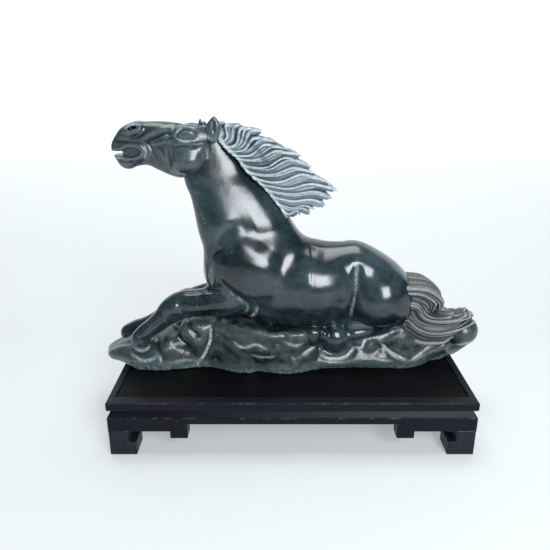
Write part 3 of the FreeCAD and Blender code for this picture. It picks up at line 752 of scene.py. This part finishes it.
ROCK_GROOVES = [
    ([(-46.5, 60), (-47.4, 49.5), (-49.2, 44.8), (-52, 38.8), (-56.4, 34.6)], 1.6, 1.8),
    ([(-67, 64), (-69, 56), (-65, 48), (-58, 44)], 2.6, 2.2),
    ([(-61, 62), (-58, 56), (-53, 52)], 1.8, 1.4),
    ([(-76, 56), (-79, 49), (-77, 42)], 2.0, 1.2),
    ([(6.4, 43.8), (14.3, 47), (17.4, 44)], 1.2, 1.0),
    ([(18, 40.7), (22.2, 38.7), (28.1, 38.2), (33.9, 39.8), (36.7, 43.2), (37, 45.4)], 1.4, 1.4),
    (ROCK_CRACKS[0], 1.3, 1.5),
    (ROCK_CRACKS[1], 1.0, 0.9),
    (ROCK_CRACKS[2], 1.2, 1.4),
    ([(-22, 62), (-10, 58), (0, 58.6), (12, 60), (26, 60)], 1.6, 1.2),
    ([(44, 57), (42, 52), (45, 47.5)], 1.2, 0.8),
]
ROCK_DUST = [
    ([(-46.9, 59.6), (-47.4, 49.5), (-49.2, 44.8), (-52, 38.8), (-56.4, 34.6)], 0.8, 0.85),
    ([(6.4, 43.8), (14.3, 47)], 0.6, 0.9),
    ([(18, 40.7), (22.2, 38.7), (28.1, 38.5), (33.9, 40.2), (36.7, 43.5), (37, 45.4)], 0.8, 1.0),
    (ROCK_CRACKS[0], 0.7, 1.0),
    (ROCK_CRACKS[1], 0.6, 0.8),
    (ROCK_CRACKS[2], 0.7, 0.8),
    ([(-22.6, 63.4), (-14.6, 62.8), (-6.7, 60.2), (-1.6, 59.3)], 0.6, 0.9),
    ([(1.6, 62.3), (9.6, 63.6), (16.1, 60.6), (25.6, 61.5), (32.8, 65)], 0.6, 0.7),
    ([(-95, 41), (-90, 38.5), (-84, 38.2), (-78, 41)], 0.8, 0.5),
    ([(36, 62.5), (48, 62.8), (60, 62)], 0.7, 0.6),
    ([(-34, 52), (-28, 48.5), (-20, 50.5), (-13, 47)], 0.5, 0.7),
    ([(-24, 44), (-16, 42.5), (-8, 43.5)], 0.4, 0.55),
    ([(-4, 52), (2, 49.5), (7, 50.5)], 0.5, 0.6),
    ([(46, 41), (52, 38.5), (60, 37.6)], 0.5, 0.7),
    ([(84, 50), (91, 48), (97, 49.5)], 0.5, 0.7),
    ([(98, 41), (104, 45), (110, 46)], 0.5, 0.8),
    ([(-74, 44), (-68, 47), (-63, 45.5)], 0.5, 0.6),
    ([(-72, 36.5), (-62, 37.5), (-54, 35.5)], 0.5, 0.45),
]


def rock_block(clay):
    """The rock's outline in front, behind, above and below, flaked all over."""
    _, (x, y, z) = clay.whole()
    rise = z - PANEL_TOP
    front = smooth_curve(x, *np.array(ROCK_FRONT).T) + 0 * z
    back = smooth_curve(x, *np.array(ROCK_BACK).T)
    top = smooth_curve(x, *np.array(ROCK_TOP).T)
    under = np.interp(x, *np.array(ROCK_UNDERSIDE).T)
    # under the belly the face stands almost upright, and it leans back more towards both ends
    lean = 0.14 + 0.3 * smooth_step(np.abs(x - 10), 50, 100)
    reach = ((-118, 118), (30, 70))
    flakes = facets(x, z, 15.0, 1.9, 3, reach) + facets(x, z, 7.0, 0.8, 4, reach)
    flakes = flakes + facets(x, z, 3.6, 0.25, 7, reach)
    flakes = flakes + 0.2 * value_noise(x, z, 3.4, 5)
    broken = smooth_step(PANEL_TOP + 4.0 - z + 2.4 * value_noise(x, z, 9, 9), 0, 2)
    rim = 0.45 * value_noise(x, z, 1.5, 6) + 0.3 * value_noise(x, z, 0.9, 8)
    face = front + lean * rise - 0.8 * smooth_step(rise, 1, 6) - flakes * 0.8 + broken * (rim + 0.3)
    rear = back - 0.4 * rise + facets(x, z, 17, 3.2, 13, reach) - facets(x, z, 8, 0.9, 14, reach) - 1
    rear = rear + 0.4 * value_noise(x, z, 2.6, 15)
    crest = top + facets(x, y, 11, 2.0, 21, ((-118, 118), (-25, 40))) - 1.5
    crest = crest - 0.03 * np.abs(y - 6) ** 1.5 + 0.5 * value_noise(x, y, 4, 23)
    shape = smooth_max(face - y, y - rear, 1.5)
    shape = smooth_max(shape * 0.85, (z - crest) * 0.85, 2.0)
    end_gap = 0.6 + 0.5 * value_noise(y, z, 5, 33)
    shape = smooth_max(shape, np.abs(x) - CARVING_RIGHT + end_gap, 2.0)
    shape = smooth_max(shape, under - z, 0.6)
    clay.field = np.clip(shape, -BAND, BAND).astype(np.float32)


def rock_lumps(clay):
    """Lumps under the knee and at both ends, and ledges along the foot and under the thigh."""
    clay.merge(ellipsoid((-57, -3, 53), (9, 9, 8), tilt=-35), k=6)
    clay.merge(ellipsoid((-55, -6, 47), (6, 7, 8), tilt=20), k=3)
    clay.merge(ellipsoid((-72, 0, 43), (12, 12, 8)), k=3)
    clay.merge(ellipsoid((104, 2, 50), (10, 10, 9), tilt=20), k=2)
    clay.merge(limb([
        (-12, 38, -16, 4.5, 7), (8, 37, -14, 4.5, 7), (30, 36.5, -13, 4, 7), (56, 37, -12.4, 4.5, 7),
        (76, 38, -10, 5, 7), (92, 42, -5, 5, 7),
    ]), k=4)
    clay.merge(limb([(36, 58, -13, 4, 5), (48, 59, -13.5, 4.5, 5), (60, 58, -12.5, 4, 5)]), k=2)
    clay.merge(limb([(52, 50, -13, 4, 5), (66, 50, -12, 5, 6), (78, 45, -10, 4, 5)]), k=2)


def rock():
    """The rock that the horse lies on."""
    clay = Clay([-118, -24, 29], [118, 40, 72], 0.72)
    rock_block(clay)
    rock_lumps(clay)
    for stroke in ROCK_GROOVES:
        clay.carve(*stroke)
    for stroke in ROCK_DUST:
        clay.powder(*stroke)
    return clay.mesh("rock", relief_scale=0.4)


# ---------------------------------------------------------------- materials

JADE_IOR = 1.6
# the third colour, for ridges, is a painted highlight laid on raised relief
JADE_DARK, JADE_CLOUD, JADE_RIDGE_HIGHLIGHT = (0.003, 0.009, 0.013), (0.033, 0.058, 0.068), (0.32, 0.38, 0.42)
SPECK_COLOUR = (0.42, 0.46, 0.45)
DUST_COLOUR = (0.62, 0.68, 0.7)
CHIPPED_COLOUR = (0.19, 0.27, 0.26)
ROCK_FOOT = 0.036          # height in metres below which the rock is only chipped
WOOD_STAIN, WOOD_WORN = (0.003, 0.0035, 0.007), (0.22, 0.22, 0.24)


class Graph:
    """A Principled material and short calls that add nodes to it."""

    def __init__(self, name):
        self.material = bpy.data.materials.new(name)
        self.material.use_nodes = True
        self.tree = self.material.node_tree
        self.shader = self.tree.nodes["Principled BSDF"]
        self.place = self.node("ShaderNodeTexCoord").outputs["Object"]

    def node(self, kind, **settings):
        made = self.tree.nodes.new(kind)
        for key, value in settings.items():
            setattr(made, key, value)
        return made

    def feed(self, socket, value):
        if isinstance(value, bpy.types.NodeSocket):
            self.tree.links.new(value, socket)
        else:
            socket.default_value = value

    def stretched(self, scale):
        made = self.node("ShaderNodeMapping")
        self.feed(made.inputs["Vector"], self.place)
        made.inputs["Scale"].default_value = scale
        return made.outputs[0]

    def noise(self, scale, detail=3.0, roughness=0.5, distortion=0.0, vector=None):
        made = self.node("ShaderNodeTexNoise")
        self.feed(made.inputs["Vector"], vector or self.place)
        made.inputs["Scale"].default_value = scale
        made.inputs["Detail"].default_value = detail
        made.inputs["Roughness"].default_value = roughness
        made.inputs["Distortion"].default_value = distortion
        return made.outputs[0]

    def along(self, axis):
        """The place along one axis, in metres."""
        split = self.node("ShaderNodeSeparateXYZ")
        self.feed(split.inputs[0], self.place)
        return split.outputs[axis]

    def specks(self, scale, size):
        """1 in small random spots."""
        made = self.node("ShaderNodeTexVoronoi")
        self.feed(made.inputs["Vector"], self.place)
        made.inputs["Scale"].default_value = scale
        return self.between(made.outputs["Distance"], size, size * 0.4)

    def between(self, value, low, high):
        """0 at low and 1 at high, or the other way round."""
        made = self.node("ShaderNodeMapRange", clamp=True)
        self.feed(made.inputs["Value"], value)
        limits = (low, high, 0, 1) if low < high else (high, low, 1, 0)
        for title, limit in zip(("From Min", "From Max", "To Min", "To Max"), limits):
            made.inputs[title].default_value = limit
        return made.outputs[0]

    def math(self, operation, a, b=0.0, clamp=False):
        made = self.node("ShaderNodeMath", operation=operation, use_clamp=clamp)
        self.feed(made.inputs[0], a)
        self.feed(made.inputs[1], b)
        return made.outputs[0]

    def times(self, a, b, clamp=False):
        return self.math("MULTIPLY", a, b, clamp)

    def mix(self, factor, a, b):
        made = self.node("ShaderNodeMix", data_type="RGBA")
        self.feed(made.inputs["Factor"], factor)
        for name, value in (("A", a), ("B", b)):
            socket = [s for s in made.inputs if s.name == name and s.type == "RGBA"][0]
            self.feed(socket, value if isinstance(value, bpy.types.NodeSocket) else (*value, 1.0))
        return [s for s in made.outputs if s.type == "RGBA"][0]

    def attribute(self, name):
        return self.node("ShaderNodeAttribute", attribute_name=name).outputs["Fac"]

    def bump(self, height, distance, strength=1.0, normal=None):
        made = self.node("ShaderNodeBump")
        self.feed(made.inputs["Height"], height)
        made.inputs["Distance"].default_value = distance
        made.inputs["Strength"].default_value = strength
        if normal is not None:
            self.feed(made.inputs["Normal"], normal)
        return made.outputs[0]

    def finish(self, colour, roughness, normal=None, specular=0.5, ior=1.5):
        self.feed(self.shader.inputs["Base Color"], colour)
        self.feed(self.shader.inputs["Roughness"], roughness)
        self.shader.inputs["IOR"].default_value = ior
        self.shader.inputs["Specular IOR Level"].default_value = specular
        if normal is not None:
            self.feed(self.shader.inputs["Normal"], normal)
        return self.material


def chipped_share(graph, foot_height):
    """How much of the surface is rough crumbs: a good part below the foot height, none above."""
    wavy = graph.math("ADD", graph.along("Z"), graph.times(graph.noise(60, 3), -0.006))
    foot = graph.between(wavy, foot_height, foot_height - 0.004)
    crumbs = graph.between(graph.noise(800, 4, 0.7), 0.42, 0.68)
    return graph.times(foot, graph.math("ADD", graph.times(crumbs, 0.6), 0.25))


def jade(name, dark, cloud, ridge, polish, ridge_highlight_share=0.0, speck_share=1.0, foot_height=None):
    """Dark cloudy stone, with painted shade that darkens the grooves, a painted highlight that makes the
    ridges paler, and pale dust in the creases.

    Polish is the roughness, how much it varies, and how uneven the surface is.
    Below the foot height the stone is left rough from the chisel, so it is paler and sparkles.
    """
    graph = Graph(name)
    big = graph.between(graph.noise(26, 5, 0.6, 0.8), 0.44, 0.62)
    veil = graph.between(graph.noise(75, 6, 0.65, 0.5), 0.46, 0.66)
    big, veil = graph.times(big, 0.75), graph.times(veil, 0.35)
    clouds = graph.math("ADD", big, veil, clamp=True)
    colour = graph.mix(clouds, dark, cloud)
    relief = graph.attribute("relief")
    # painted highlight: raised relief is paled towards the ridge colour, in streaks
    if ridge_highlight_share > 0:
        raised_highlight = graph.between(relief, -0.15, 0.55)
        highlight_streak = graph.between(graph.noise(900, 3, 0.6), 0.3, 0.62)
        highlight_streak = graph.math("ADD", graph.times(highlight_streak, 0.6), 0.4)
        raised_highlight = graph.times(raised_highlight, highlight_streak)
        colour = graph.mix(graph.times(raised_highlight, ridge_highlight_share), colour, ridge)
    # painted shade: grooves and creases are darkened towards a third of the dark stone colour
    painted_crease_shade = graph.between(relief, -0.25, -1.2)
    colour = graph.mix(graph.times(painted_crease_shade, 0.6), colour, [c * 0.35 for c in dark])
    patches = graph.between(graph.noise(38, 3, 0.6), 0.5, 0.62)
    specks = graph.times(graph.specks(330, 0.13), patches)
    specks = graph.times(specks, 0.5 * speck_share)
    colour = graph.mix(specks, colour, SPECK_COLOUR)
    grains = graph.between(graph.noise(700, 4, 0.7), 0.3, 0.6)
    dust = graph.times(graph.attribute("dust"), 1.7)
    dust = graph.times(dust, grains, clamp=True)
    colour = graph.mix(dust, colour, DUST_COLOUR)
    if foot_height is not None:
        colour = graph.mix(chipped_share(graph, foot_height), colour, CHIPPED_COLOUR)
    smear = graph.times(graph.noise(120, 4, 0.6), polish[1])
    rough = graph.math("ADD", smear, polish[0])
    rough = graph.math("ADD", rough, graph.times(dust, 0.5), clamp=True)
    bump = graph.bump(graph.noise(260, 4, 0.6), 0.0004, 0.12 + polish[2])
    return graph.finish(colour, rough, bump, specular=0.5, ior=JADE_IOR)


def stained_wood(name, colour, worn, polish, grain_axis="x", wear=1.0, gloss=0.2):
    """Black-stained hardwood, satin, with the stain rubbed through along its edges."""
    graph = Graph(name)
    along, across = 60, 900
    scale = [along if axis == grain_axis else across for axis in "xyz"]
    grain = graph.noise(1.0, 4, 0.6, 0.3, vector=graph.stretched(scale))
    fine = graph.noise(1.0, 2, 0.6, vector=graph.stretched([v * 2.2 for v in scale]))
    pores = graph.between(fine, 0.6, 0.75)
    tone = graph.mix(graph.between(grain, 0.35, 0.7), colour, [c * 1.7 + 0.002 for c in colour])
    bevel = graph.node("ShaderNodeBevel", samples=6)
    bevel.inputs["Radius"].default_value = 0.0007
    face = graph.node("ShaderNodeNewGeometry")
    likeness = graph.node("ShaderNodeVectorMath", operation="DOT_PRODUCT")
    graph.feed(likeness.inputs[0], bevel.outputs[0])
    graph.feed(likeness.inputs[1], face.outputs["True Normal"])
    edge = graph.between(likeness.outputs["Value"], 0.985, 0.9)
    rubbed = graph.between(graph.noise(170, 5, 0.7), 0.5, 0.66)
    worn_edge = graph.times(graph.times(edge, rubbed), 0.75 * wear)
    tone = graph.mix(worn_edge, tone, worn)
    patches = graph.between(graph.noise(60, 2), 0.55, 0.65)
    flecks = graph.times(graph.specks(260, 0.09), patches)
    tone = graph.mix(graph.times(flecks, 0.35 * wear), tone, worn)
    rough = graph.math("ADD", graph.times(grain, polish[1]), polish[0])
    rough = graph.math("ADD", rough, graph.times(worn_edge, 0.3), clamp=True)
    height = graph.math("SUBTRACT", grain, graph.times(pores, 0.6))
    bump = graph.bump(height, 0.0001, 0.2, bevel.outputs[0])
    return graph.finish(tone, rough, bump, specular=gloss)


def plain_stage(name, colour, glow, far_glow):
    """Pale paper that glows a little, more so far away and up the backdrop, to stay evenly light."""
    graph = Graph(name)
    shade = graph.mix(graph.noise(3, 2), colour, [c * 0.985 for c in colour])
    up, behind = graph.between(graph.along("Z"), 0.0, 0.5), graph.between(graph.along("Y"), 0.1, 1.5)
    reach = graph.node("ShaderNodeVectorMath", operation="LENGTH")
    graph.feed(reach.inputs[0], graph.place)
    far = graph.between(reach.outputs["Value"], 0.9, 1.9)
    rising = graph.math("MAXIMUM", graph.math("MAXIMUM", up, behind), far)
    graph.feed(graph.shader.inputs["Emission Color"], graph.mix(rising, glow, far_glow))
    graph.shader.inputs["Emission Strength"].default_value = 1.0
    return graph.finish(shade, 0.8, specular=0.1)


# ---------------------------------------------------------------- stage, lights and camera

def stage():
    """A pale floor that curves up into a backdrop."""
    half, back, rise, radius, steps = 3.0, 2.2, 2.6, 0.8, 24
    rows = [(-half, 0.0), (0.0, 0.0)]
    for i in range(steps + 1):
        turn = math.pi / 2 * i / steps
        rows.append((back - radius + radius * math.sin(turn), radius - radius * math.cos(turn)))
    rows.append((back, rise))
    points = [(x, y, z) for y, z in rows for x in (-half, half)]
    faces = [(2 * i, 2 * i + 1, 2 * i + 3, 2 * i + 2) for i in range(len(rows) - 1)]
    mesh = bpy.data.meshes.new("stage")
    mesh.from_pydata(points, [], faces)
    mesh.polygons.foreach_set("use_smooth", [True] * len(faces))
    paper = plain_stage("pale_floor", (0.43, 0.45, 0.455), (0.33, 0.35, 0.352), (0.91, 0.955, 0.99))
    mesh.materials.append(paper)
    floor = bpy.data.objects.new("stage", mesh)
    bpy.context.scene.collection.objects.link(floor)


def area_light(name, place, aim, size, power, colour=(1, 1, 1)):
    """Rectangular soft light, aimed at a point. Millimetres and watts."""
    lamp = bpy.data.lights.new(name, "AREA")
    lamp.shape = "RECTANGLE"
    lamp.size, lamp.size_y = size[0] * MM, size[1] * MM
    lamp.energy = power
    lamp.color = colour
    light = bpy.data.objects.new(name, lamp)
    light.location = Vector(place) * MM
    light.rotation_euler = (Vector(aim) - Vector(place)).to_track_quat("-Z", "Y").to_euler()
    bpy.context.scene.collection.objects.link(light)


def lights():
    """A window in front on the right, a big soft panel overhead and a dim room."""
    world = bpy.data.worlds.new("studio")
    bpy.context.scene.world = world
    world.use_nodes = True
    tree = world.node_tree
    dim = tree.nodes["Background"]
    dim.inputs["Color"].default_value = (0.75, 0.9, 1.0, 1)
    dim.inputs["Strength"].default_value = 0.16
    # the room is pale where it is looked at, and dim in the stone's reflections
    pale = tree.nodes.new("ShaderNodeBackground")
    pale.inputs["Color"].default_value = (0.86, 0.91, 0.94, 1)
    chosen = tree.nodes.new("ShaderNodeMixShader")
    path = tree.nodes.new("ShaderNodeLightPath")
    tree.links.new(path.outputs["Is Camera Ray"], chosen.inputs[0])
    tree.links.new(dim.outputs[0], chosen.inputs[1])
    tree.links.new(pale.outputs[0], chosen.inputs[2])
    tree.links.new(chosen.outputs[0], tree.nodes["World Output"].inputs["Surface"])
    area_light("window", (238, -588, 386), (0, 0, 90), (290, 330), 4.4, (0.93, 0.97, 1.0))
    area_light("overhead", (0, 150, 1100), (0, 0, 60), (900, 700), 10.0, (1.0, 0.99, 0.97))


def camera():
    """In front of the stand, a little above the horse's head and looking down at it."""
    data = bpy.data.cameras.new("camera")
    data.sensor_width = 36.0
    data.lens = 37.88
    data.clip_start = 0.01
    eye = bpy.data.objects.new("camera", data)
    eye.location = Vector((-9.37, -318.7, 201.7)) * MM
    eye.rotation_euler = (math.radians(70.14), 0, 0)
    bpy.context.scene.collection.objects.link(eye)
    bpy.context.scene.camera = eye


# ---------------------------------------------------------------- assembly

def dress(node, material):
    """Gives a carried-over CAD node one material."""
    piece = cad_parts[node]
    piece.data.materials.clear()
    piece.data.materials.append(material)


def dress_carving():
    """Builds the five carved pieces and gives each its own cut of jade."""
    body = horse_body()
    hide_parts("jade_carving")
    # the third colour of each jade is the painted highlight on its raised relief, where its share is above
    # zero
    body.data.materials.append(
        jade("polished_jade", JADE_DARK, JADE_CLOUD, JADE_RIDGE_HIGHLIGHT, (0.13, 0.12, 0.0)))
    horse_head().data.materials.append(
        jade("head_jade", JADE_DARK, JADE_CLOUD, JADE_RIDGE_HIGHLIGHT, (0.16, 0.14, 0.05), ridge_highlight_share=0.25))
    horse_mane().data.materials.append(
        jade("mane_jade", (0.07, 0.095, 0.112), (0.16, 0.205, 0.24), (0.6, 0.69, 0.76),
             (0.5, 0.2, 0.4), ridge_highlight_share=1.0))
    horse_tail().data.materials.append(
        jade("tail_jade", (0.024, 0.029, 0.031), (0.06, 0.07, 0.073), (0.36, 0.39, 0.4),
             (0.42, 0.2, 0.3), ridge_highlight_share=0.85))
    rock().data.materials.append(
        jade("rock_jade", (0.003, 0.008, 0.010), (0.020, 0.038, 0.042), (0.26, 0.34, 0.33),
             (0.18, 0.22, 0.25), ridge_highlight_share=0.2, speck_share=2.0, foot_height=ROCK_FOOT))


def dress_stand():
    """Wood for the stand's CAD nodes, with the grain along each rail and up each foot."""
    satin = (0.36, 0.15)
    front_wood = stained_wood("stained_wood", WOOD_STAIN, WOOD_WORN, satin, gloss=0.15)
    side_wood = stained_wood("stained_wood_side", WOOD_STAIN, WOOD_WORN, satin, "y", gloss=0.15)
    foot_wood = stained_wood("stained_wood_foot", (0.008, 0.011, 0.018), WOOD_WORN, satin, "z")
    panel_wood = stained_wood("panel_wood", (0.0012, 0.0012, 0.002), (0.12, 0.12, 0.13),
                              (0.42, 0.12), gloss=0.07)
    inner_wood = stained_wood("inner_wood", (0.030, 0.024, 0.020), (0.2, 0.17, 0.14),
                              (0.5, 0.2), wear=0.4)
    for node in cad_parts:
        if node == "jade_carving":
            continue
        if node == "top_panel":
            dress(node, panel_wood)
        elif node.startswith(("corner_block", "panel_batten")):
            dress(node, inner_wood)
        elif node.startswith("foot"):
            dress(node, foot_wood)
        else:
            dress(node, side_wood if node.endswith(("left", "right")) else front_wood)


def main():
    camera()
    dress_carving()
    dress_stand()
    stage()
    lights()
    bpy.context.scene.view_settings.view_transform = "Standard"


main()
